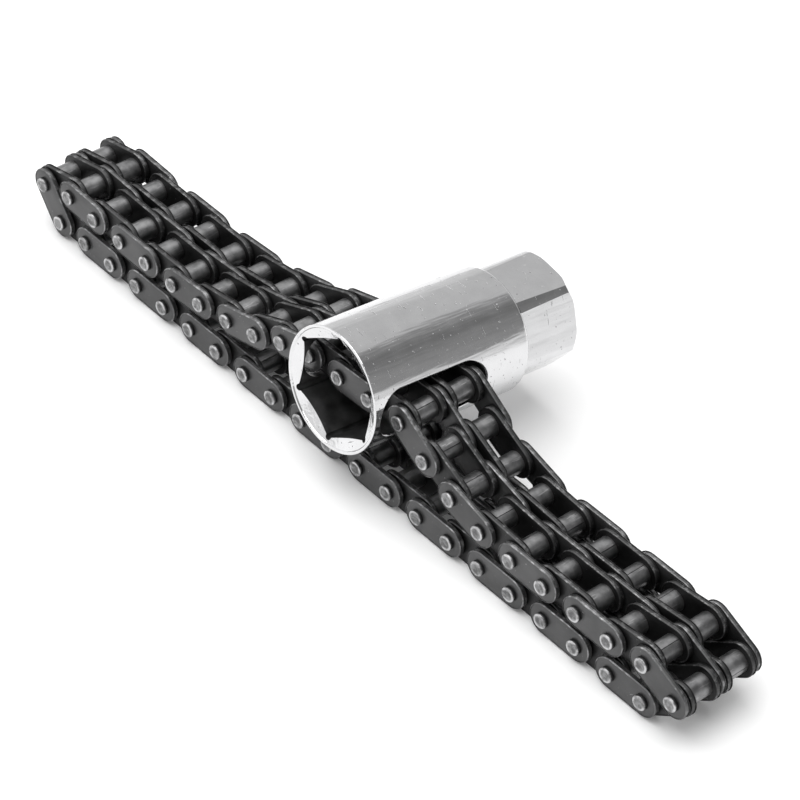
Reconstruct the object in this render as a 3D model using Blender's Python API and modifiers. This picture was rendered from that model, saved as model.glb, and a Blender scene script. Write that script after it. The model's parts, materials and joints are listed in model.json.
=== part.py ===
"""Chain type oil filter wrench: a chromed socket tube with an endless double strand chain.

The chain passes through two slots in the sides of the tube, and the loop lies flat on a surface:
one run through the tube and the other under it. All hinge pins are parallel to Y.
Metres, +Z up. The origin is at the middle of the object's base, and X runs along the chain.
"""
from math import atan2, cos, pi, radians, sin, sqrt

import bmesh
import bpy
from mathutils import Matrix, Vector

# ---- Chain ----
PITCH = 0.009525          # distance between pins
LINK_COUNT = 44           # outer and inner links take turns
OUTER_HEIGHT = 0.0076     # outer and middle plates
INNER_HEIGHT = 0.0080     # inner plates
OUTER_THICK = 0.00125
MIDDLE_THICK = 0.0012
INNER_THICK = 0.0013
INNER_WIDTH = 0.00572     # between the two inner plates of a strand
SIDE_GAP = 0.00036        # between neighbouring plates, along a pin
PIN_RADIUS = 0.00175
PIN_STANDS_OUT = 0.0010   # riveted end, beyond the outer plate
BUSH_RADIUS = 0.00254
BORE_RADIUS = 0.00206
TIE_WIDTH = 0.0010        # web between the strands of an inner link that is one piece
TIE_HEIGHT = 0.0044

# ---- Chain layers, from the middle plane outwards ----
STRAND_INSIDE = MIDDLE_THICK / 2 + SIDE_GAP
STRAND_WIDTH = INNER_WIDTH + 2 * INNER_THICK
STRAND_OUTSIDE = STRAND_INSIDE + STRAND_WIDTH
OUTER_INSIDE = STRAND_OUTSIDE + SIDE_GAP
OUTER_OUTSIDE = OUTER_INSIDE + OUTER_THICK
PIN_END = OUTER_OUTSIDE + PIN_STANDS_OUT

# ---- Route of the loop ----
FOLD_ANGLE = 61.2         # angle at the last pin of each end, between the two links that meet there
FOLD_RISE = 0.965         # height of the pin after the left fold, in pitches
UPPER_HEADINGS = (-2.6, -1.1, 0, 0, 4, 9, 14, 23, 17, 2, 3, 2, -31, -26, -15, -4, 0, 0, 0)
FIRST_LOWER_PIN = 23      # the lower run goes from this pin to the last one, in a straight line
LAST_PIN = LINK_COUNT - 1

# ---- Tree of links ----
TUBE_LINK = 11            # the link inside the tube
OPEN_PIN = 33             # hidden pivot where the loop is open, under the tube
TIED_LINKS = (10, 12, 28, 30, 32, 34, 36)

# ---- Socket tube ----
TUBE_RADIUS = 0.0143
TUBE_LENGTH = 0.0588
BODY_LENGTH = 0.0430      # round part, up to the shoulder
SHOULDER = 0.0008
END_RADIUS = 0.0134       # circle that trims the corners of the hexagon end
END_CHAMFER = 0.0011
HEX_ACROSS = 0.0240       # hexagon end, across flats
HEX_TURN = -21.0          # turn of the hexagon end against the mouth's hexagon
MOUTH_ACROSS = 0.0220
MOUTH_DEPTH = 0.0408
MOUTH_RIM = 0.0007        # width of the flat ring in front
MOUTH_CHAMFER_DEPTH = 0.0016
RELIEF_RADIUS = 0.0008    # round relief along each corner of the mouth's hexagon
RELIEF_SPAN = 188.7       # its arc, up to where it meets the hexagon's walls, in degrees
DRIVE_SQUARE = 0.0128
SLOT_START = 0.0017       # behind the mouth
SLOT_LENGTH = 0.0292
SLOT_HEIGHT = 0.0116
TUBE_MIDDLE = 10.60       # tube's place along the lower run, in pitches from its left pin
TUBE_RISE = 2.115         # height of its axis over the lower pins, in pitches, at the chain's middle
MOUTH_AHEAD = 0.0164      # from the chain's middle plane to the mouth, along the axis
TUBE_YAW = 2.0
TUBE_TILT = 5.0
TUBE_ROLL = 2.5

# ---- Facets ----
PLATE_STEPS = 4           # on each round end of a plate
PIN_SIDES = 6
BUSH_SIDES = 8
TUBE_SIDES = 32
SLOT_STEPS = 8
RELIEF_STEPS = 5          # on each corner relief of the mouth
OVERLAP = 0.0005          # how far a piece runs into the one that it is joined to
REACH = 0.004             # how far a cutter runs past what it cuts


# ---------------------------------------------------------------- route

def step(point, heading):
    """The next pin, one pitch from this one, in the XZ plane."""
    return point + PITCH * Vector((cos(radians(heading)), sin(radians(heading))))


def meet(first, second, first_reach, second_reach, side):
    """The point at the two given distances from two pins, on the left (side 1) of the line between."""
    line = second - first
    apart = line.length
    along = (apart ** 2 + first_reach ** 2 - second_reach ** 2) / (2 * apart)
    off = sqrt(first_reach ** 2 - along ** 2)
    line.normalize()
    return first + along * line + side * off * Vector((-line.y, line.x))


def chain_pins():
    """All pins as (x, z) around the loop: left fold, upper run, right fold, lower run."""
    pins = [None] * LINK_COUNT
    for number in range(FIRST_LOWER_PIN, LINK_COUNT):
        pins[number] = Vector(((LAST_PIN - number) * PITCH, INNER_HEIGHT / 2))
    chord = 2 * sin(radians(FOLD_ANGLE / 2)) * PITCH
    rise = FOLD_RISE * PITCH
    pins[1] = pins[LAST_PIN] + Vector((sqrt(chord ** 2 - rise ** 2), rise))
    pins[0] = meet(pins[LAST_PIN], pins[1], PITCH, PITCH, 1)
    for number, heading in enumerate(UPPER_HEADINGS, start=1):
        pins[number + 1] = step(pins[number], heading)
    last = len(UPPER_HEADINGS) + 1
    pins[last + 1] = meet(pins[last], pins[last + 3], PITCH, chord, 1)
    pins[last + 2] = meet(pins[last + 1], pins[last + 3], PITCH, PITCH, 1)
    middle = (pins[0].x + pins[last + 2].x) / 2
    return [pin - Vector((middle, 0)) for pin in pins]


def is_outer(link):
    return link % 2 == 1


def on_left(link):
    """Links on the left arm of the tree turn on their second pin, the others on their first."""
    return link < TUBE_LINK or link >= OPEN_PIN


def joint_pin(link):
    return (link + 1) % LINK_COUNT if on_left(link) else link


def far_pin(link):
    return link if on_left(link) else (link + 1) % LINK_COUNT


# ---------------------------------------------------------------- meshes

def mesh_object(name, mesh):
    made = bpy.data.objects.new(name, mesh)
    bpy.context.scene.collection.objects.link(made)
    return made


def from_bmesh(name, shape):
    mesh = bpy.data.meshes.new(name)
    shape.to_mesh(mesh)
    shape.free()
    return mesh_object(name, mesh)


def evaluated_mesh(made):
    """The object's mesh with its modifiers, caps welded to sides."""
    graph = bpy.context.evaluated_depsgraph_get()
    mesh = bpy.data.meshes.new_from_object(made.evaluated_get(graph))
    shape = bmesh.new()
    shape.from_mesh(mesh)
    bmesh.ops.remove_doubles(shape, verts=shape.verts, dist=1e-6)
    shape.to_mesh(mesh)
    shape.free()
    return mesh


def outline(name, points, thickness, place):
    """A flat shape with the given corners in its own XY plane, half its thickness to each side."""
    curve = bpy.data.curves.new(name, "CURVE")
    curve.dimensions = "2D"
    curve.fill_mode = "BOTH"
    curve.extrude = thickness / 2
    spline = curve.splines.new("POLY")
    spline.points.add(len(points) - 1)
    for point, (x, y) in zip(spline.points, points):
        point.co = (x, y, 0, 1)
    spline.use_cyclic_u = True
    drawn = mesh_object(name, curve)
    bpy.context.view_layer.update()
    mesh = evaluated_mesh(drawn)
    bpy.data.objects.remove(drawn)
    mesh.transform(place)
    return mesh_object(name, mesh)


def arc(centre, radius, start, end, steps):
    """Points on an arc, its two ends included. Angles are in radians."""
    angles = [start + (end - start) * number / steps for number in range(steps + 1)]
    return [(centre[0] + radius * cos(angle), centre[1] + radius * sin(angle)) for angle in angles]


def obround(name, length, height, thickness, steps, place):
    """A flat strip with round ends. Its arcs' centres are 0 and length along its own X."""
    right = arc((length, 0), height / 2, -pi / 2, pi / 2, steps)
    left = arc((0, 0), height / 2, pi / 2, 3 * pi / 2, steps)
    return outline(name, right + left, thickness, place)


def rod(name, radius, length, sides, place):
    """A cylinder along its own Z, with its middle at the origin before it is placed."""
    shape = bmesh.new()
    bmesh.ops.create_cone(shape, cap_ends=True, segments=sides, radius1=radius, radius2=radius, depth=length)
    bmesh.ops.transform(shape, matrix=place, verts=shape.verts)
    return from_bmesh(name, shape)


def block(name, size, place):
    shape = bmesh.new()
    bmesh.ops.create_cube(shape, size=1)
    bmesh.ops.scale(shape, vec=size, verts=shape.verts)
    bmesh.ops.transform(shape, matrix=place, verts=shape.verts)
    return from_bmesh(name, shape)


def merged(base, additions, cuts=()):
    """One mesh: the base with the additions joined to it and the cuts taken from it."""
    for others, operation in ((additions, "UNION"), (cuts, "DIFFERENCE")):
        for other in others:
            boolean = base.modifiers.new(other.name, "BOOLEAN")
            boolean.operation = operation
            boolean.object = other
    bpy.context.view_layer.update()
    mesh = evaluated_mesh(base)
    for used in (base, *additions, *cuts):
        bpy.data.objects.remove(used)
    mesh.shade_smooth()
    mesh.set_sharp_from_angle(angle=radians(50))
    return mesh


# ---------------------------------------------------------------- chain pieces

FACING = Matrix.Rotation(pi / 2, 4, "X")     # from lying in XY to standing in XZ


def plate(height, thickness, y):
    return obround("plate", PITCH, height, thickness, PLATE_STEPS, Matrix.Translation((0, y, 0)) @ FACING)


def crosswise(name, radius, sides, x, low, high):
    """A rod along Y from low to high."""
    place = Matrix.Translation((x, (low + high) / 2, 0)) @ FACING
    return rod(name, radius, high - low, sides, place)


def outer_link_mesh(open_end):
    """Two outer plates and a middle plate on two pins. At an open end the pin is only its two heads."""
    outer_y = (OUTER_INSIDE + OUTER_OUTSIDE) / 2
    plates = [plate(OUTER_HEIGHT, OUTER_THICK, y) for y in (-outer_y, outer_y)]
    pins = [crosswise("pin", PIN_RADIUS, PIN_SIDES, 0, -PIN_END, PIN_END)]
    if open_end:
        for side in (-1, 1):
            ends = sorted((side * (OUTER_OUTSIDE - OVERLAP), side * PIN_END))
            pins.append(crosswise("head", PIN_RADIUS, PIN_SIDES, PITCH, *ends))
    else:
        pins.append(crosswise("pin", PIN_RADIUS, PIN_SIDES, PITCH, -PIN_END, PIN_END))
    return merged(plate(OUTER_HEIGHT, MIDDLE_THICK, 0), pins[:1] + plates + pins[1:])


def strand_pieces(side):
    """The two plates and two bushes of an inner link's strand, in front (side -1) or behind (side 1)."""
    near = STRAND_INSIDE + INNER_THICK / 2
    far = STRAND_OUTSIDE - INNER_THICK / 2
    plates = [plate(INNER_HEIGHT, INNER_THICK, side * y) for y in (near, far)]
    ends = sorted((side * near, side * far))
    bushes = [crosswise("bush", BUSH_RADIUS, BUSH_SIDES, x, *ends) for x in (0, PITCH)]
    return plates, bushes


def bores(low, high):
    return [crosswise("bore", BORE_RADIUS, BUSH_SIDES, x, low - REACH, high + REACH) for x in (0, PITCH)]


def inner_strand_mesh(side):
    plates, bushes = strand_pieces(side)
    ends = sorted((side * STRAND_INSIDE, side * STRAND_OUTSIDE))
    return merged(plates[0], bushes + plates[1:], bores(*ends))


def inner_pair_mesh():
    """Both strands of an inner link, joined by a thin web between the middle plates."""
    front_plates, front_bushes = strand_pieces(-1)
    rear_plates, rear_bushes = strand_pieces(1)
    tie_depth = 2 * (STRAND_INSIDE + OVERLAP)
    tie = block("tie", (TIE_WIDTH, tie_depth, TIE_HEIGHT), Matrix.Translation((PITCH / 2, 0, 0)))
    pieces = front_bushes + front_plates[1:] + [tie] + rear_plates[:1] + rear_bushes + rear_plates[1:]
    return merged(front_plates[0], pieces, bores(-STRAND_OUTSIDE, STRAND_OUTSIDE))


def link_matrix(pins, link):
    """A link's own X runs from the pin that it turns on to its other pin."""
    near, far = pins[joint_pin(link)], pins[far_pin(link)]
    turn = -atan2(far.y - near.y, far.x - near.x)
    return Matrix.Translation((near.x, 0, near.y)) @ Matrix.Rotation(turn, 4, "Y")


def add_chain(parts, pins, steels):
    outer_mesh = outer_link_mesh(False)
    open_mesh = outer_link_mesh(True)
    strand_meshes = {"front": inner_strand_mesh(-1), "rear": inner_strand_mesh(1)}
    pair_mesh = inner_pair_mesh()
    for mesh in (outer_mesh, open_mesh):
        mesh.materials.append(steels["outer"])
    for mesh in (pair_mesh, *strand_meshes.values()):
        mesh.materials.append(steels["inner"])
    for link in range(LINK_COUNT):
        place = link_matrix(pins, link)
        number = link // 2 + 1
        if is_outer(link):
            mesh = open_mesh if link == OPEN_PIN else outer_mesh
            add_part(parts, f"outer_link_{number:02d}", mesh, place)
        elif link in TIED_LINKS:
            add_part(parts, f"inner_link_{number:02d}_pair", pair_mesh, place)
        else:
            for side, mesh in strand_meshes.items():
                add_part(parts, f"inner_link_{number:02d}_{side}", mesh, place)


def add_part(parts, name, mesh, place):
    made = bpy.data.objects.new(name, mesh)
    parts.objects.link(made)
    made.matrix_world = place
    return made


# ---------------------------------------------------------------- socket tube

def turned_body():
    """The tube's outside as a turned solid: its mouth at z = 0 and the drive end up."""
    profile = (
        (0, TUBE_LENGTH),
        (END_RADIUS - END_CHAMFER, TUBE_LENGTH),
        (END_RADIUS, TUBE_LENGTH - END_CHAMFER),
        (END_RADIUS, BODY_LENGTH + SHOULDER),
        (TUBE_RADIUS, BODY_LENGTH),
        (TUBE_RADIUS, 0),
        (0, 0),
    )
    mesh = bpy.data.meshes.new("socket_tube")
    edges = [(number, number + 1) for number in range(len(profile) - 1)]
    mesh.from_pydata([(radius, 0, z) for radius, z in profile], edges, [])
    body = mesh_object("socket_tube", mesh)
    screw = body.modifiers.new("turn", "SCREW")
    screw.steps = screw.render_steps = TUBE_SIDES
    screw.use_merge_vertices = True
    screw.merge_threshold = 1e-5
    return body


def around(count, turn=0.0):
    """Rotations about Z, evenly spaced."""
    return [Matrix.Rotation(radians(turn) + 2 * pi * number / count, 4, "Z") for number in range(count)]


def hexagon_flats():
    """Blocks that leave a hexagon at the drive end."""
    length = TUBE_LENGTH - BODY_LENGTH + REACH
    depth = TUBE_RADIUS
    out = Matrix.Translation((HEX_ACROSS / 2 + depth / 2, 0, BODY_LENGTH + SHOULDER + length / 2))
    return [block("flat", (depth, 2 * TUBE_RADIUS, length), spin @ out) for spin in around(6, HEX_TURN)]


def hexagon_bore():
    """The mouth's hexagon, with a round relief along each corner."""
    centre_radius = MOUTH_ACROSS / sqrt(3) - RELIEF_RADIUS / 2
    points = []
    for corner in range(6):
        middle = radians(30 + 60 * corner)
        centre = (centre_radius * cos(middle), centre_radius * sin(middle))
        half = radians(RELIEF_SPAN / 2)
        points += arc(centre, RELIEF_RADIUS, middle - half, middle + half, RELIEF_STEPS)
    depth = MOUTH_DEPTH + REACH
    return outline("hexagon", points, depth, Matrix.Translation((0, 0, MOUTH_DEPTH - depth / 2)))


def mouth_cone():
    """The cone that widens the mouth to a narrow rim."""
    front, back = TUBE_RADIUS - MOUTH_RIM, MOUTH_ACROSS / 2 - OVERLAP
    slope = (front - back) / MOUTH_CHAMFER_DEPTH
    depth = MOUTH_CHAMFER_DEPTH + REACH
    shape = bmesh.new()
    bmesh.ops.create_cone(
        shape, cap_ends=True, segments=TUBE_SIDES, radius1=front + slope * REACH, radius2=back, depth=depth
    )
    bmesh.ops.translate(shape, vec=(0, 0, depth / 2 - REACH), verts=shape.verts)
    return from_bmesh("cone", shape)


def slot_cutter():
    """One obround through both walls, long side along the tube."""
    across = Matrix.Rotation(-pi / 2, 4, "Y")
    start = SLOT_START + SLOT_HEIGHT / 2
    return obround(
        "slot", SLOT_LENGTH - SLOT_HEIGHT, SLOT_HEIGHT, 2 * (TUBE_RADIUS + REACH), SLOT_STEPS,
        Matrix.Translation((0, 0, start)) @ across,
    )


def drive_cutter():
    """The square drive hole, with its sides level in spite of the tube's roll."""
    length = TUBE_LENGTH - MOUTH_DEPTH + 2 * REACH
    place = Matrix.Translation((0, 0, TUBE_LENGTH + REACH - length / 2)) @ Matrix.Rotation(radians(TUBE_ROLL), 4, "Z")
    return block("drive", (DRIVE_SQUARE, DRIVE_SQUARE, length), place)


def tube_matrix(pins):
    """The mouth's centre and the tube's lean: its drive end is low and a little to the right."""
    lean = (
        Matrix.Rotation(radians(-TUBE_YAW), 4, "Z")
        @ Matrix.Rotation(radians(-TUBE_TILT), 4, "X")
        @ Matrix.Rotation(radians(-TUBE_ROLL), 4, "Y")
    )
    left = pins[LAST_PIN]
    crossing = Vector((left.x + TUBE_MIDDLE * PITCH, 0, left.y + TUBE_RISE * PITCH))
    mouth = crossing - MOUTH_AHEAD * (lean @ Vector((0, 1, 0)))
    return Matrix.Translation(mouth) @ lean @ Matrix.Rotation(-pi / 2, 4, "X")


def add_tube(parts, pins, chrome):
    cuts = hexagon_flats() + [hexagon_bore(), mouth_cone(), slot_cutter(), drive_cutter()]
    mesh = merged(turned_body(), [], cuts)
    mesh.materials.append(chrome)
    add_part(parts, "socket_tube", mesh, tube_matrix(pins))


# ---------------------------------------------------------------- whole object

def principled(name, colour, roughness, metallic):
    material = bpy.data.materials.new(name)
    material.use_nodes = True
    shader = material.node_tree.nodes["Principled BSDF"]
    shader.inputs["Base Color"].default_value = (*colour, 1)
    shader.inputs["Roughness"].default_value = roughness
    shader.inputs["Metallic"].default_value = metallic
    return material


def centre_depth(parts):
    """Moves everything along Y so that the origin is halfway between the mouth and the drive end."""
    bpy.context.view_layer.update()
    depths = [(made.matrix_world @ v.co).y for made in parts.objects for v in made.data.vertices]
    middle = (min(depths) + max(depths)) / 2
    for made in parts.objects:
        made.location.y -= middle


def main():
    for old in list(bpy.data.objects):
        bpy.data.objects.remove(old)
    parts = bpy.data.collections.new("oil_filter_wrench")
    bpy.context.scene.collection.children.link(parts)
    pins = chain_pins()
    steels = {
        "outer": principled("outer_link_steel", (0.10, 0.10, 0.105), 0.42, 0.9),
        "inner": principled("inner_link_steel", (0.07, 0.07, 0.075), 0.45, 0.9),
    }
    add_chain(parts, pins, steels)
    add_tube(parts, pins, principled("chrome", (0.78, 0.78, 0.79), 0.15, 1.0))
    centre_depth(parts)


main()
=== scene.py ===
"""Looks of the chain type oil filter wrench: a chromed socket tube on an endless double strand chain."""

import json
from math import atan2, cos, pi, radians, sin, sqrt

import bmesh
import bpy
from mathutils import Matrix, Vector


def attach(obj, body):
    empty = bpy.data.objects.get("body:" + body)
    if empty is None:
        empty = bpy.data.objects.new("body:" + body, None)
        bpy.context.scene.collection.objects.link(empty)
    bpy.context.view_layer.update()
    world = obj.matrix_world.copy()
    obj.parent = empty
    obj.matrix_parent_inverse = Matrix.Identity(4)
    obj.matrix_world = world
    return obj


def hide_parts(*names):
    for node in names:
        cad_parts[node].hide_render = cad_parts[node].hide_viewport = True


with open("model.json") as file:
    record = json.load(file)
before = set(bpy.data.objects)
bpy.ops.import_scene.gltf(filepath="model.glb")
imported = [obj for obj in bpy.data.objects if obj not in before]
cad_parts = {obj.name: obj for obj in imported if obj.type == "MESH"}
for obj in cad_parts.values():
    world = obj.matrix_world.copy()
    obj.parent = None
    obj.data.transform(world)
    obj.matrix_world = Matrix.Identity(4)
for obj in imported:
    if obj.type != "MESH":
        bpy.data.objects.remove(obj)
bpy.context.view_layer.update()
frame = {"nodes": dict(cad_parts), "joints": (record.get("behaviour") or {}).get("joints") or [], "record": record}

# ---- Chain, in metres ----
PITCH = 0.009525
LINK_COUNT = 44
OUTER_HEIGHT = 0.0076
INNER_HEIGHT = 0.0080
OUTER_THICK = 0.00125
MIDDLE_THICK = 0.0012
INNER_THICK = 0.0013
INNER_WIDTH = 0.00572
SIDE_GAP = 0.00036
PIN_RADIUS = 0.00175
PIN_STANDS_OUT = 0.0010
BUSH_RADIUS = 0.00254
BORE_RADIUS = 0.00206
STRAND_INSIDE = MIDDLE_THICK / 2 + SIDE_GAP
STRAND_OUTSIDE = STRAND_INSIDE + INNER_WIDTH + 2 * INNER_THICK
OUTER_INSIDE = STRAND_OUTSIDE + SIDE_GAP
OUTER_OUTSIDE = OUTER_INSIDE + OUTER_THICK
PIN_END = OUTER_OUTSIDE + PIN_STANDS_OUT
TUBE_LINK = 11            # the link inside the tube
OPEN_PIN = 33             # where the loop is open, under the tube

# ---- Rounding of the chain's pieces ----
PLATE_ROUNDING = 0.00022
PLATE_BORDER = 0.00035    # what the worn border has inside its rounding
PLATE_STEPS = 16          # on each round end of a plate
PIN_SIDES = 32
BUSH_STEPS = 36
SEAM_WIDTH = 0.00016      # slit along each curled bush
SEAM_TURNS = (74, 118, 162, 40)     # degrees about the bush, from the way to the next pin
SEAM_STEP = 11            # degrees more from one set of bushes to the next
BUSH_SETS = 4
BUSH_LIP = 0.00014        # rounding of a bush's ends
HOLE_PLAY = 0.00001       # around a pin or bush in its plate
SHARP_ANGLE = 40          # degrees

# ---- Socket tube, in metres ----
TUBE_RADIUS = 0.0143
TUBE_LENGTH = 0.0588
BODY_LENGTH = 0.0430
SHOULDER = 0.0008
END_RADIUS = 0.0134
END_CHAMFER = 0.0011
SHOULDER_EASE = 0.0007
FLAT_RUN_OUT = 0.0003     # radius where a flat of the hexagon meets the shoulder
HEX_ACROSS = 0.0240
HEX_TURN = -21.0
MOUTH_ACROSS = 0.0220
MOUTH_DEPTH = 0.0408
MOUTH_RIM = 0.0007
MOUTH_CHAMFER_DEPTH = 0.0016
RIM_ROUNDING = 0.00022
RELIEF_RADIUS = 0.0008
RELIEF_SPAN = 188.7
DRIVE_SQUARE = 0.0128
SLOT_START = 0.0017
SLOT_LENGTH = 0.0292
SLOT_HEIGHT = 0.0116
SLOT_STEPS = 24           # on each round end
SLOT_LIP = 0.0005         # rounding of its outer edge
TUBE_YAW = 2.0            # the tube's lean in the chain, in degrees
TUBE_TILT = 5.0
TUBE_ROLL = 2.5
TUBE_SIDES = 128
TUBE_SHARP_ANGLE = 22     # degrees
REACH = 0.004             # how far a cutter stands out of what it cuts
MERGE = 2e-6              # leftovers of the cuts that are closer than this are joined

# ---- Studio ----
# The walls' brightness from left (-1) to right (1): the two ends, then the places between.
STUDIO = (
    (-1, 0.92), (1, 0.30),
    (-0.80, 0.86), (-0.68, 0.63), (-0.02, 0.62), (0.10, 0.30), (0.36, 0.19), (0.74, 0.33),
)
STUDIO_FRONT = 1.5        # how much lighter it is in front
SWEEP = 0.9               # brightness of the floor's upturned edge on the right
SOFTBOX_PLACE = (-0.18, -0.12, 0.95)
SOFTBOX_SIZE = (1.2, 1.0)
SOFTBOX_POWER = 10.0
FLOOR_GLOW = 0.07         # light from under the paper, which softens the shadows
LENS = 137.49
CAMERA_PLACE = (0.35225, -0.36072, 0.44249)
CAMERA_RIGHT = (0.66249, 0.74536, 0.07447)
CAMERA_AHEAD = (-0.53022, 0.53683, -0.65627)

STANDING = Matrix.Rotation(pi / 2, 4, "X")     # turns an outline lying in XY to stand in XZ


# ---------------------------------------------------------------- mesh helpers

def mesh_object(name, mesh):
    made = bpy.data.objects.new(name, mesh)
    bpy.context.scene.collection.objects.link(made)
    return made


def closed_mesh(name, shape):
    """A mesh from the bmesh, with its faces pointing out."""
    bmesh.ops.recalc_face_normals(shape, faces=shape.faces)
    mesh = bpy.data.meshes.new(name)
    shape.to_mesh(mesh)
    shape.free()
    return mesh


def smooth_mesh(name, shape):
    mesh = closed_mesh(name, shape)
    mesh.shade_smooth()
    mesh.set_sharp_from_angle(angle=radians(SHARP_ANGLE))
    return mesh


def arc(centre, radius, start, end, steps):
    """Points along an arc, both ends included."""
    angles = [start + (end - start) * number / steps for number in range(steps + 1)]
    return [(centre[0] + radius * cos(angle), centre[1] + radius * sin(angle)) for angle in angles]


def circle(centre, radius, sides):
    return arc(centre, radius, 0, 2 * pi, sides)[:-1]


def obround(near, far, radius, steps):
    """The outline of a strip with round ends, whose centres are at near and far along X."""
    far_end = arc((far, 0), radius, -pi / 2, pi / 2, steps)
    near_end = arc((near, 0), radius, pi / 2, 3 * pi / 2, steps)
    return far_end + near_end


def ring(shape, points, y):
    """New vertices at (x, z) points in the plane at y."""
    return [shape.verts.new((x, y, z)) for x, z in points]


def bridge(shape, first, second):
    """Faces between two closed loops with as many vertices."""
    for number, corner in enumerate(first):
        after = (number + 1) % len(first)
        shape.faces.new((corner, first[after], second[after], second[number]))


def mark(layer, verts, value):
    """Says how worn the surface is at the vertices, from 0 to 1. On a pin's side, 0 also gives painted shade."""
    for vert in verts:
        vert[layer] = value


def add_plate(shape, layer, height, low, high, hole):
    """A plate from y = low to y = high with two holes and a worn border.

    The border slopes from the flat face out to the outline, and there it curls back in.
    """
    profile = [(PLATE_ROUNDING + PLATE_BORDER, 0, 0.0)]
    for turn in (0, pi / 6, pi / 3, pi / 2):
        profile.append((PLATE_ROUNDING * (1 - cos(turn)), PLATE_ROUNDING * (1 - sin(turn)), 1.0))
    walls = []
    for base, way in ((low, 1), (high, -1)):
        rings = []
        for inset, rise, worn in profile:
            outline = obround(0, PITCH, height / 2 - inset, PLATE_STEPS)
            loop = ring(shape, outline, base + way * rise)
            mark(layer, loop, worn)
            rings.append(loop)
        for first, second in zip(rings, rings[1:]):
            bridge(shape, first, second)
        walls.append(rings)
    bridge(shape, walls[0][-1], walls[1][-1])
    holes = []
    for base in (low, high):
        holes.append([ring(shape, circle((x, 0), hole, PIN_SIDES), base) for x in (0, PITCH)])
    for first, second in zip(*holes):
        bridge(shape, first, second)
    for rings, circles in zip(walls, holes):
        edges = []
        for loop in (rings[0], *circles):
            for number, vert in enumerate(loop):
                after = loop[(number + 1) % len(loop)]
                edge = shape.edges.get((vert, after)) or shape.edges.new((vert, after))
                edges.append(edge)
        bmesh.ops.triangle_fill(shape, use_beauty=True, use_dissolve=False, edges=edges)


def add_lathe(shape, layer, profile, x):
    """A turned solid about the Y axis at x, from (radius, y, worn) points with both ends at radius 0."""
    rings = []
    for radius, y, worn in profile[1:-1]:
        loop = ring(shape, circle((x, 0), radius, PIN_SIDES), y)
        mark(layer, loop, worn)
        rings.append(loop)
    for first, second in zip(rings, rings[1:]):
        bridge(shape, first, second)
    for (_, y, worn), loop in ((profile[0], rings[0]), (profile[-1], rings[-1])):
        tip = shape.verts.new((x, y, 0))
        tip[layer] = worn
        for number, vert in enumerate(loop):
            shape.faces.new((tip, vert, loop[(number + 1) % len(loop)]))


def riveted_end(y, way):
    """Profile of a pin's end from its middle to the shaft: slightly dished, with a peened border."""
    return [
        (0, y - way * 0.00016, 0.35),
        (PIN_RADIUS * 0.40, y - way * 0.00015, 0.35),
        (PIN_RADIUS * 0.66, y - way * 0.00010, 0.5),
        (PIN_RADIUS * 0.76, y - way * 0.00002, 0.9),
        (PIN_RADIUS * 0.84, y, 1.0),
        (PIN_RADIUS * 0.93, y - way * 0.00005, 1.0),
        (PIN_RADIUS * 0.985, y - way * 0.00016, 0.8),
        (PIN_RADIUS, y - way * 0.00034, 0.3),
        # worn 0 from here along the shaft: the pin's material paints it near black as painted shade
        (PIN_RADIUS * 0.985, y - way * 0.00070, 0.0),
    ]


def add_pin(shape, layer, x, low, high):
    add_lathe(shape, layer, riveted_end(low, -1) + riveted_end(high, 1)[::-1], x)


def add_head(shape, layer, x, side):
    """One end of a pin, as far as the outer plate's hole."""
    inner = side * (OUTER_INSIDE + 0.0001)
    ends = [(PIN_RADIUS * 0.97, inner, 0.0), (0, inner, 0.0)]
    add_lathe(shape, layer, riveted_end(side * PIN_END, side) + ends, x)


def add_bush(shape, x, low, high, seam):
    """A strip curled to a tube with rounded ends, whose two edges meet at a seam."""
    half = SEAM_WIDTH / 2 / BUSH_RADIUS
    start, end = radians(seam) + half, radians(seam) + 2 * pi - half
    stations = [(low, BUSH_LIP), (low + BUSH_LIP, 0), (high - BUSH_LIP, 0), (high, BUSH_LIP)]
    sections = []
    for y, inset in stations:
        outer = ring(shape, arc((x, 0), BUSH_RADIUS - inset, start, end, BUSH_STEPS), y)
        inner = ring(shape, arc((x, 0), BORE_RADIUS, end, start, BUSH_STEPS), y)
        sections.append(outer + inner)
    for first, second in zip(sections, sections[1:]):
        bridge(shape, first, second)
    for section in (sections[0], sections[-1]):
        count = BUSH_STEPS + 1
        for number in range(BUSH_STEPS):
            far = 2 * count - 1 - number
            shape.faces.new((section[number], section[number + 1], section[far - 1], section[far]))


def new_shape():
    """An empty bmesh and its layer of wear, whose low values on a pin's side bring painted shade."""
    shape = bmesh.new()
    return shape, shape.verts.layers.float.new("worn")


# ---------------------------------------------------------------- chain pieces

def outer_plates_mesh():
    shape, layer = new_shape()
    hole = PIN_RADIUS + HOLE_PLAY
    for low, high in ((-OUTER_OUTSIDE, -OUTER_INSIDE), (OUTER_INSIDE, OUTER_OUTSIDE)):
        add_plate(shape, layer, OUTER_HEIGHT, low, high, hole)
    add_plate(shape, layer, OUTER_HEIGHT, -MIDDLE_THICK / 2, MIDDLE_THICK / 2, hole)
    return smooth_mesh("outer_plates", shape)


def outer_pins_mesh(open_end):
    """Two pins. At the open pivot of the loop, only the ends of the second one are there."""
    shape, layer = new_shape()
    add_pin(shape, layer, 0, -PIN_END, PIN_END)
    if open_end:
        add_head(shape, layer, PITCH, -1)
        add_head(shape, layer, PITCH, 1)
    else:
        add_pin(shape, layer, PITCH, -PIN_END, PIN_END)
    return smooth_mesh("outer_pins", shape)


def inner_plates_mesh():
    shape, layer = new_shape()
    for side in (-1, 1):
        for near in (STRAND_INSIDE, STRAND_OUTSIDE - INNER_THICK):
            low, high = sorted((side * near, side * (near + INNER_THICK)))
            add_plate(shape, layer, INNER_HEIGHT, low, high, BUSH_RADIUS + HOLE_PLAY)
    return smooth_mesh("inner_plates", shape)


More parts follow.
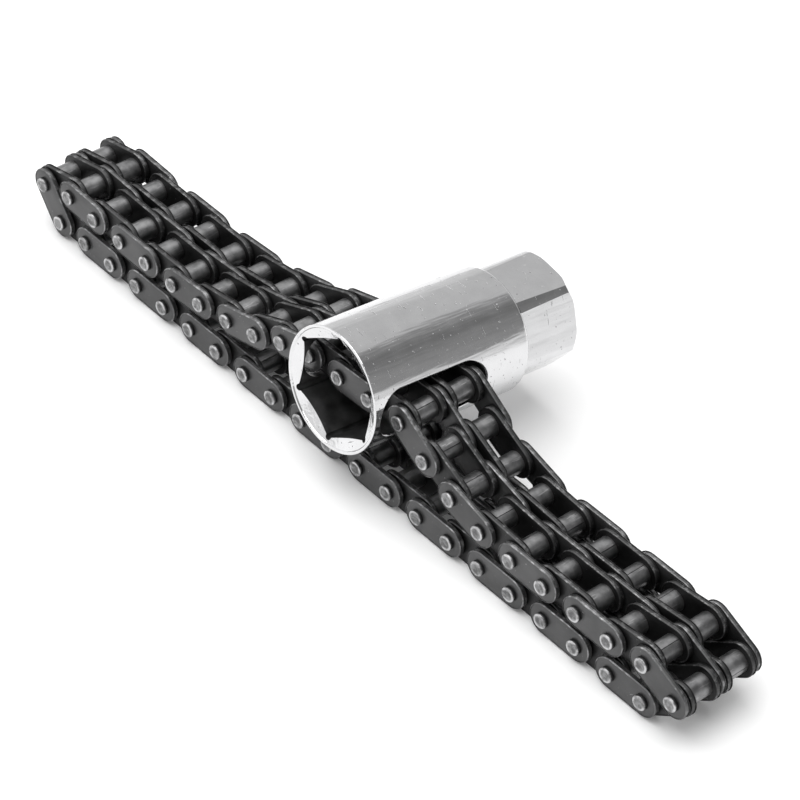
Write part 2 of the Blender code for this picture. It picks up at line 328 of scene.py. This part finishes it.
def inner_bushes_mesh(turn):
    """The four bushes of a link. Their seams point different ways."""
    shape = bmesh.new()
    for number, (side, x) in enumerate(((-1, 0), (-1, PITCH), (1, 0), (1, PITCH))):
        low, high = sorted((side * STRAND_INSIDE, side * STRAND_OUTSIDE))
        seam = SEAM_TURNS[(number + turn) % len(SEAM_TURNS)] + SEAM_STEP * turn
        add_bush(shape, x, low, high, seam)
    return smooth_mesh("inner_bushes", shape)


# ---------------------------------------------------------------- route and bodies

def on_left(link):
    """Whether a link belongs to the left arm. Links are counted from the left end of the loop."""
    return link < TUBE_LINK or link >= OPEN_PIN


def joint_pin(link):
    """The pin about which the link turns, on the side of the tube."""
    return (link + 1) % LINK_COUNT if on_left(link) else link


def far_pin(link):
    return link if on_left(link) else (link + 1) % LINK_COUNT


def body_name(link):
    return f"{'outer' if link % 2 else 'inner'}_link_{link // 2 + 1:02d}"


def chain_pins():
    """Every pin's place, from the joints. Each hinge is at the pin where its child link turns."""
    link_of = {body_name(link): link for link in range(LINK_COUNT)}
    pins = {}
    for joint in frame["joints"]:
        if joint["type"] == "hinge":
            pins[joint_pin(link_of[joint["child"]])] = Vector(joint["pos_m"])
    pins[OPEN_PIN] = pins[OPEN_PIN + 1] + Vector((PITCH, 0, 0))
    return pins


def link_matrix(pins, link):
    """Puts a link's pins, 0 and one pitch along X, at its joint pin and its far pin."""
    near, far = pins[joint_pin(link)], pins[far_pin(link)]
    turn = -atan2(far.z - near.z, far.x - near.x)
    return Matrix.Translation(near) @ Matrix.Rotation(turn, 4, "Y")


def add_piece(name, mesh, place, body):
    """A copy of the mesh with its place baked in, riding on a body."""
    placed = mesh.copy()
    placed.transform(place)
    made = mesh_object(name, placed)
    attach(made, body)
    return made


def add_chain(materials):
    pins = chain_pins()
    outer_plates = outer_plates_mesh()
    outer_pins = outer_pins_mesh(False)
    open_pins = outer_pins_mesh(True)
    inner_plates = inner_plates_mesh()
    bushes = [inner_bushes_mesh(turn) for turn in range(BUSH_SETS)]
    made_of = [(outer_plates, "outer"), (inner_plates, "inner"), (outer_pins, "pin"), (open_pins, "pin")]
    made_of += [(mesh, "bush") for mesh in bushes]
    for mesh, kind in made_of:
        mesh.materials.append(materials[kind])
    for link in range(LINK_COUNT):
        body = body_name(link)
        place = link_matrix(pins, link)
        if link % 2:
            pin_mesh = open_pins if link == OPEN_PIN else outer_pins
            plates = add_piece(f"{body}_plates", outer_plates, place, body)
            add_piece(f"{body}_pins", pin_mesh, place, body)
        else:
            plates = add_piece(f"{body}_plates", inner_plates, place, body)
            add_piece(f"{body}_bushes", bushes[link // 2 % BUSH_SETS], place, body)
        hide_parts(*frame["record"]["behaviour"]["bodies"][body])


# ---------------------------------------------------------------- socket tube

def evaluated(made):
    graph = bpy.context.evaluated_depsgraph_get()
    return bpy.data.meshes.new_from_object(made.evaluated_get(graph))


def loft(name, shape, rings):
    """A closed solid through the rings, which belong to the bmesh."""
    for first, second in zip(rings, rings[1:]):
        bridge(shape, first, second)
    shape.faces.new(rings[0])
    shape.faces.new(rings[-1][::-1])
    return mesh_object(name, closed_mesh(name, shape))


def lathe(name, profile):
    """A solid turned about Z from (radius, z) points."""
    shape = bmesh.new()
    rings = []
    for radius, z in profile:
        rings.append([shape.verts.new((x, y, z)) for x, y in circle((0, 0), radius, TUBE_SIDES)])
    return loft(name, shape, rings)


def prism(name, points, low, high):
    """A prism along Z with the given outline."""
    shape = bmesh.new()
    rings = [[shape.verts.new((x, y, z)) for x, y in points] for z in (low, high)]
    return loft(name, shape, rings)


def turned_body():
    """The outside: rounded rim, straight body, eased shoulder, chamfered drive end."""
    rim = arc((TUBE_RADIUS - RIM_ROUNDING, RIM_ROUNDING), RIM_ROUNDING, -pi / 2, 0, 5)
    shoulder = []
    for turn in (radians(angle) for angle in (0, 15, 30, 45, 55)):
        inset, rise = SHOULDER_EASE * (1 - cos(turn)), SHOULDER_EASE * sin(turn)
        shoulder.append((TUBE_RADIUS - inset, BODY_LENGTH - SHOULDER_EASE + rise))
    shoulder.append((END_RADIUS - 0.0002, BODY_LENGTH + SHOULDER))
    chamfer = [
        (END_RADIUS, TUBE_LENGTH - END_CHAMFER - 0.0004),
        (END_RADIUS - 0.00006, TUBE_LENGTH - END_CHAMFER),
        (END_RADIUS - END_CHAMFER + 0.00025, TUBE_LENGTH - 0.00018),
        (END_RADIUS - END_CHAMFER, TUBE_LENGTH - 0.00004),
        (END_RADIUS - END_CHAMFER - 0.0003, TUBE_LENGTH),
    ]
    return lathe("socket_tube_body", rim + shoulder + chamfer)


def flat_cutters():
    """What makes the drive end a hexagon. Its flats run out into the shoulder with a small radius."""
    flat, start, end = HEX_ACROSS / 2, BODY_LENGTH + SHOULDER - FLAT_RUN_OUT, TUBE_LENGTH + REACH
    # the outline's X is outwards and its Y runs along the tube
    points = [(flat, end), (flat, start + FLAT_RUN_OUT)]
    for turn in (radians(angle) for angle in (15, 30, 45, 60, 75)):
        inset, rise = FLAT_RUN_OUT * (1 - cos(turn)), FLAT_RUN_OUT * (1 - sin(turn))
        points.append((flat + inset, start + rise))
    points += [(flat + FLAT_RUN_OUT + REACH, start), (flat + FLAT_RUN_OUT + REACH, end)]
    cuts = []
    for number in range(6):
        cut = prism(f"flat_{number}", points, -TUBE_RADIUS, TUBE_RADIUS)
        spin = Matrix.Rotation(radians(HEX_TURN) + pi / 3 * number, 4, "Z")
        cut.data.transform(spin @ STANDING)
        cuts.append(cut)
    return cuts


def hexagon_bore():
    """The hexagon mouth, with a round relief in each corner."""
    centre_radius = MOUTH_ACROSS / sqrt(3) - RELIEF_RADIUS / 2
    points = []
    for corner in range(6):
        middle = radians(30 + 60 * corner)
        centre = (centre_radius * cos(middle), centre_radius * sin(middle))
        half = radians(RELIEF_SPAN / 2)
        points += arc(centre, RELIEF_RADIUS, middle - half, middle + half, 12)
    return prism("hexagon", points, -REACH, MOUTH_DEPTH)


def mouth_cone():
    """The cone that widens the mouth, rounded where it meets the rim."""
    front, back = TUBE_RADIUS - MOUTH_RIM, MOUTH_ACROSS / 2 - 0.0005
    lip = [
        (front + 0.00030, -0.00001),
        (front + 0.00012, 0.00004),
        (front, 0.00016),
        (front - 0.00010, 0.00034),
    ]
    return lathe("cone", [(front + 0.00030, -REACH)] + lip + [(back, MOUTH_CHAMFER_DEPTH)])


def slot_ring(shape, side, grow, depth):
    """The slot's outline, grown all round, at a depth under the tube's surface on one side."""
    radius = SLOT_HEIGHT / 2
    near, far = SLOT_START + radius, SLOT_START + SLOT_LENGTH - radius
    corners = []
    for along, across in obround(near, far, radius + grow, SLOT_STEPS):
        surface = sqrt(TUBE_RADIUS ** 2 - across ** 2)
        corners.append(shape.verts.new((side * (surface - depth), across, along)))
    return corners


def slot_cutter():
    """The slot through both side walls, with its outer edge rounded."""
    lip = []
    for turn in (radians(angle) for angle in (0, 15, 30, 45, 60, 72)):
        lip.append((SLOT_LIP * (1 - cos(turn)), SLOT_LIP * (1 - sin(turn))))
    lip += [(SLOT_LIP * 0.93, -0.00002), (SLOT_LIP * 0.93, -REACH)]
    shape = bmesh.new()
    rings = [slot_ring(shape, -1, grow, depth) for grow, depth in lip[::-1]]
    rings += [slot_ring(shape, 1, grow, depth) for grow, depth in lip]
    return loft("slot", shape, rings)


def drive_cutter():
    """The square hole. It goes on past the end of the hexagon bore, and its corners are eased."""
    half = DRIVE_SQUARE / 2
    ease = 0.0004
    points = []
    for quarter, (x, y) in enumerate(((1, 1), (-1, 1), (-1, -1), (1, -1))):
        centre = (x * (half - ease), y * (half - ease))
        points += arc(centre, ease, pi / 2 * quarter, pi / 2 * (quarter + 1), 4)
    cut = prism("drive", points, MOUTH_DEPTH - REACH, TUBE_LENGTH + REACH)
    cut.data.transform(Matrix.Rotation(radians(TUBE_ROLL), 4, "Z"))
    return cut


def tube_matrix():
    """The tube's place, from its CAD node: the mouth's centre is the middle of its front ring."""
    lean = (
        Matrix.Rotation(radians(-TUBE_YAW), 4, "Z")
        @ Matrix.Rotation(radians(-TUBE_TILT), 4, "X")
        @ Matrix.Rotation(radians(-TUBE_ROLL), 4, "Y")
        @ Matrix.Rotation(-pi / 2, 4, "X")
    )
    along = lean @ Vector((0, 0, 1))
    spots = [vert.co for vert in frame["nodes"]["socket_tube"].data.vertices]
    front = min(spot.dot(along) for spot in spots)
    rim = [spot for spot in spots if spot.dot(along) < front + 1e-5]
    low = [min(spot[axis] for spot in rim) for axis in range(3)]
    high = [max(spot[axis] for spot in rim) for axis in range(3)]
    centre = (Vector(low) + Vector(high)) / 2
    return Matrix.Translation(centre) @ lean


def cut_tube():
    """The tube's mesh, with all cuts made."""
    body = turned_body()
    cuts = flat_cutters() + [hexagon_bore(), mouth_cone(), slot_cutter(), drive_cutter()]
    for cut in cuts:
        boolean = body.modifiers.new(cut.name, "BOOLEAN")
        boolean.operation = "DIFFERENCE"
        boolean.object = cut
    bpy.context.view_layer.update()
    mesh = evaluated(body)
    for used in (body, *cuts):
        bpy.data.objects.remove(used)
    shape = bmesh.new()
    shape.from_mesh(mesh)
    bmesh.ops.remove_doubles(shape, verts=shape.verts, dist=MERGE)
    bmesh.ops.dissolve_degenerate(shape, edges=shape.edges, dist=MERGE)
    shape.to_mesh(mesh)
    shape.free()
    mesh.name = "socket_tube"
    mesh.shade_smooth()
    mesh.set_sharp_from_angle(angle=radians(TUBE_SHARP_ANGLE))
    return mesh


def in_bore(face):
    """Whether a face of the tube lies inside it and looks to its axis or along it."""
    middle = face.center
    outwards = Vector((middle.x, middle.y, 0))
    return (
        outwards.length < MOUTH_ACROSS / sqrt(3) + 0.0006
        and MOUTH_CHAMFER_DEPTH < middle.z < TUBE_LENGTH - 0.0002
        and face.normal.dot(outwards) <= 1e-9
    )


def add_tube(materials):
    mesh = cut_tube()
    mesh.materials.clear()
    mesh.materials.append(materials["chrome"])
    mesh.materials.append(materials["bore"])
    # The bore's faces get the bore material, whose dark colour is painted shade inside the tube.
    for face in mesh.polygons:
        face.material_index = int(in_bore(face))
    tube = mesh_object("socket_tube_shell", mesh)
    tube.matrix_world = tube_matrix()
    weighted = tube.modifiers.new("weighted", "WEIGHTED_NORMAL")
    weighted.keep_sharp = True
    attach(tube, "socket")
    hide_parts("socket_tube")


# ---------------------------------------------------------------- materials

class Nodes:
    """Short calls to add and link the nodes of a tree."""

    def __init__(self, tree):
        self.tree = tree

    def link(self, source, target):
        self.tree.links.new(source, target)

    def add(self, kind, inputs=None, **settings):
        node = self.tree.nodes.new(kind)
        for key, value in settings.items():
            setattr(node, key, value)
        for key, value in (inputs or {}).items():
            socket = node.inputs[key]
            if isinstance(value, bpy.types.NodeSocket):
                self.link(value, socket)
            else:
                socket.default_value = value
        return node

    def coordinates(self):
        """Object coordinates. Each piece lies at its own place in them."""
        return self.add("ShaderNodeTexCoord").outputs["Object"]

    def worn(self):
        return self.add("ShaderNodeAttribute", attribute_name="worn").outputs["Fac"]

    def noise(self, vector, scale, detail=3.0, rough=0.55):
        inputs = {"Vector": vector, "Scale": scale, "Detail": detail, "Roughness": rough}
        return self.add("ShaderNodeTexNoise", inputs).outputs["Fac"]

    def stretched(self, vector, factors):
        return self.add("ShaderNodeVectorMath", {0: vector, 1: factors}, operation="MULTIPLY").outputs[0]

    def ramp(self, value, low, high, start=0.0, end=1.0):
        inputs = {"Value": value, "From Min": low, "From Max": high, "To Min": start, "To Max": end}
        return self.add("ShaderNodeMapRange", inputs, clamp=True).outputs["Result"]

    def maths(self, operation, first, second):
        return self.add("ShaderNodeMath", {0: first, 1: second}, operation=operation).outputs[0]

    def mixed(self, factor, first, second):
        node = self.add("ShaderNodeMix", data_type="RGBA")
        self.link(factor, node.inputs["Factor"])
        for key, value in ((6, first), (7, second)):
            if isinstance(value, bpy.types.NodeSocket):
                self.link(value, node.inputs[key])
            else:
                node.inputs[key].default_value = (*value, 1)
        return node.outputs[2]

    def bump(self, height, strength, distance, normal=None):
        inputs = {"Height": height, "Strength": strength, "Distance": distance}
        if normal is not None:
            inputs["Normal"] = normal
        return self.add("ShaderNodeBump", inputs).outputs["Normal"]


class Steel(Nodes):
    """A metal's material, with its shader."""

    def __init__(self, name, metallic):
        self.material = bpy.data.materials.new(name)
        self.material.use_nodes = True
        super().__init__(self.material.node_tree)
        self.shader = self.tree.nodes["Principled BSDF"]
        self.shader.inputs["Metallic"].default_value = metallic

    def surface(self, colour, roughness, normal):
        """Links the finished look to the shader."""
        self.link(colour, self.shader.inputs["Base Color"])
        self.link(roughness, self.shader.inputs["Roughness"])
        self.link(normal, self.shader.inputs["Normal"])
        return self.material


def grey(value):
    return (value, value, value * 1.01)


def blackened_steel(name, dark, light, worn, rough, wear_from=0.60):
    """Oiled black oxide on steel: cloudy tone, fine grain, bright metal where borders are rubbed."""
    n = Steel(name, 0.85)
    place = n.coordinates()
    clouds = n.noise(place, 180.0, 4.0)
    grain = n.noise(place, 2600.0, 2.0, 0.7)
    patches = n.noise(place, 620.0, 4.0, 0.65)
    base = n.mixed(n.ramp(clouds, 0.32, 0.68), grey(dark), grey(light))
    tint = n.ramp(n.noise(place, 55.0, 1.0), 0.35, 0.65, 0.88, 1.12)
    base = n.add("ShaderNodeVectorMath", {0: base, "Scale": tint}, operation="SCALE").outputs[0]
    where_rubbed = n.ramp(patches, wear_from - 0.1, wear_from + 0.1, 0.12, 0.9)
    rubbed = n.maths("MULTIPLY", n.ramp(n.worn(), 0.35, 1.0), where_rubbed)
    specks = n.ramp(n.noise(place, 1500.0, 2.0, 0.5), 0.735, 0.76, 0, 0.5)
    wear = n.maths("MAXIMUM", rubbed, specks)
    cloudy_rough = n.ramp(clouds, 0.3, 0.7, rough - 0.06, rough + 0.07)
    roughness = n.maths("ADD", cloudy_rough, n.ramp(wear, 0, 1, 0, -0.10))
    fine = n.bump(grain, 0.22, 0.00002)
    return n.surface(n.mixed(wear, base, grey(worn)), roughness, n.bump(patches, 0.25, 0.00003, fine))


def bush_steel():
    """Curled strip, rubbed lighter than the plates, with fine lines along its axis."""
    n = Steel("bush_steel", 0.95)
    place = n.coordinates()
    lines = n.noise(n.stretched(place, (1.0, 0.10, 1.0)), 2400.0, 3.0)
    clouds = n.noise(place, 420.0, 3.0)
    base = n.mixed(n.ramp(clouds, 0.33, 0.66), grey(0.18), grey(0.30))
    base = n.mixed(n.ramp(lines, 0.60, 0.72, 0, 0.5), base, grey(0.62))
    return n.surface(base, n.ramp(clouds, 0.3, 0.7, 0.33, 0.44), n.bump(lines, 0.3, 0.00002))


def pin_steel():
    """Riveted pins: torn, dull grey ends with a bright peened border, and sides painted near black as painted
    shade.
    """
    n = Steel("pin_steel", 0.9)
    place = n.coordinates()
    marks = n.noise(place, 1900.0, 4.0, 0.7)
    clouds = n.noise(place, 620.0, 3.0)
    torn = n.noise(place, 1000.0, 3.0)
    worn = n.worn()
    face = n.mixed(n.ramp(torn, 0.40, 0.62), grey(0.12), grey(0.27))
    # Near-black grey where worn is low, down the pin's side to the plate: painted shade.
    base = n.mixed(n.ramp(worn, 0.05, 0.35), grey(0.05), face)
    rubbed = n.maths("MULTIPLY", n.ramp(worn, 0.4, 0.95), n.ramp(clouds, 0.40, 0.58, 0.1, 1))
    base = n.mixed(rubbed, base, grey(0.56))
    return n.surface(base, n.ramp(marks, 0.3, 0.7, 0.34, 0.50), n.bump(marks, 0.45, 0.00004))


def chrome():
    """Polished plating: waves and drawn lines along the tube, hairline scratches and a few pits."""
    n = Steel("chrome", 1.0)
    place = n.coordinates()
    drawn = n.noise(n.stretched(place, (1.0, 1.0, 0.06)), 1500.0, 3.0)
    waves = n.noise(n.stretched(place, (1.0, 1.0, 0.13)), 260.0, 3.0, 0.5)
    clouds = n.noise(place, 260.0, 4.0)
    scratch = n.noise(n.stretched(place, (0.5, 0.5, 6.0)), 520.0, 2.0, 0.4)
    pits = n.noise(place, 1350.0, 1.0, 0.4)
    marks = n.maths("MAXIMUM", n.ramp(pits, 0.735, 0.76), n.ramp(scratch, 0.73, 0.75, 0, 0.9))
    base = n.mixed(n.ramp(clouds, 0.3, 0.7), grey(0.66), grey(0.71))
    cloudy_rough = n.ramp(clouds, 0.35, 0.7, 0.12, 0.19)
    roughness = n.maths("ADD", cloudy_rough, n.ramp(marks, 0, 1, 0, 0.18))
    # the hexagon end is flatter than the turned body
    along = n.add("ShaderNodeSeparateXYZ", {0: place}).outputs["Z"]
    calm = n.ramp(along, BODY_LENGTH - 0.001, BODY_LENGTH + 0.001, 1.0, 0.25)
    wavy = n.bump(n.maths("MULTIPLY", waves, calm), 0.8, 0.00034)
    fine = n.bump(drawn, 0.22, 0.00003, wavy)
    return n.surface(n.mixed(marks, base, grey(0.36)), roughness, n.bump(marks, 0.8, -0.00006, fine))


def bore_chrome_painted_shade():
    """Inside of the tube: matt plating over broaching marks that run along it, far darker than the outside as
    painted shade inside the tube.
    """
    n = Steel("bore_chrome_painted_shade", 1.0)
    place = n.coordinates()
    broach = n.noise(n.stretched(place, (1.0, 1.0, 0.05)), 1500.0, 3.0)
    clouds = n.noise(place, 300.0, 4.0)
    base = n.mixed(n.ramp(clouds, 0.3, 0.7), grey(0.13), grey(0.23))
    return n.surface(base, n.ramp(clouds, 0.3, 0.7, 0.34, 0.48), n.bump(broach, 0.4, 0.00004))


# ---------------------------------------------------------------- floor, light, camera

def floor_paper():
    material = bpy.data.materials.new("floor_paper")
    material.use_nodes = True
    shader = material.node_tree.nodes["Principled BSDF"]
    shader.inputs["Base Color"].default_value = (0.95, 0.95, 0.95, 1)
    shader.inputs["Roughness"].default_value = 0.9
    shader.inputs["Emission Color"].default_value = (1, 1, 1, 1)
    shader.inputs["Emission Strength"].default_value = FLOOR_GLOW
    return material


def add_floor():
    shape = bmesh.new()
    bmesh.ops.create_grid(shape, x_segments=2, y_segments=2, size=4.0)
    mesh = bpy.data.meshes.new("floor")
    shape.to_mesh(mesh)
    shape.free()
    mesh.materials.append(floor_paper())
    floor = mesh_object("floor", mesh)
    floor.location.z = -0.00005


def add_softbox():
    """A large light that hangs over the left of the object and looks straight down."""
    light = bpy.data.lights.new("softbox", "AREA")
    light.shape = "RECTANGLE"
    light.size, light.size_y = SOFTBOX_SIZE
    light.energy = SOFTBOX_POWER
    made = bpy.data.objects.new("softbox", light)
    bpy.context.scene.collection.objects.link(made)
    made.location = SOFTBOX_PLACE
    made.rotation_euler = Vector((0, 0, -1)).to_track_quat("-Z", "Y").to_euler()


def add_world():
    """A studio that is light on the left and dim on the right, where the white floor sweeps up."""
    world = bpy.data.worlds.new("studio")
    world.use_nodes = True
    n = Nodes(world.node_tree)
    background = n.tree.nodes["Background"]
    direction = n.add("ShaderNodeTexCoord").outputs["Generated"]
    split = n.add("ShaderNodeSeparateXYZ", {0: direction}).outputs
    walls = n.add("ShaderNodeValToRGB", {"Fac": n.ramp(split["X"], -1.0, 1.0)})
    spots = walls.color_ramp.elements
    for number, (across, level) in enumerate(STUDIO):
        spot = spots[number] if number < 2 else spots.new((across + 1) / 2)
        spot.position = (across + 1) / 2
        spot.color = (level, level, level, 1)
    low = n.ramp(split["Z"], 0.17, 0.10)
    right = n.ramp(split["X"], 0.30, 0.60)
    colour = n.mixed(n.maths("MULTIPLY", low, right), walls.outputs["Color"], (SWEEP, SWEEP, SWEEP))
    n.link(colour, background.inputs["Color"])
    n.link(n.ramp(split["Y"], 0.15, -0.35, 1.0, STUDIO_FRONT), background.inputs["Strength"])
    bpy.context.scene.world = world


def add_camera():
    camera = bpy.data.cameras.new("camera")
    camera.lens = LENS
    camera.sensor_width = 36
    camera.clip_start = 0.01
    made = bpy.data.objects.new("camera", camera)
    bpy.context.scene.collection.objects.link(made)
    right, ahead = Vector(CAMERA_RIGHT), Vector(CAMERA_AHEAD)
    up = right.cross(ahead)
    turn = Matrix((right, up, -ahead)).transposed().to_4x4()
    made.matrix_world = Matrix.Translation(CAMERA_PLACE) @ turn
    bpy.context.scene.camera = made
    bpy.context.scene.view_settings.view_transform = "Standard"


def main():
    materials = {
        "outer": blackened_steel("outer_link_steel", dark=0.073, light=0.101, worn=0.43, rough=0.42),
        # The inner plates take a darker copy of the outer plates' steel and a darker rubbed colour: painted shade
        # between the outer plates.
        "inner": blackened_steel(
            "inner_link_steel", dark=0.026, light=0.046, worn=0.36, rough=0.44, wear_from=0.62
        ),
        "pin": pin_steel(),
        "bush": bush_steel(),
        "chrome": chrome(),
        "bore": bore_chrome_painted_shade(),
    }
    add_camera()
    add_world()
    add_softbox()
    add_floor()
    add_chain(materials)
    add_tube(materials)


main()
bpy.context.view_layer.update()
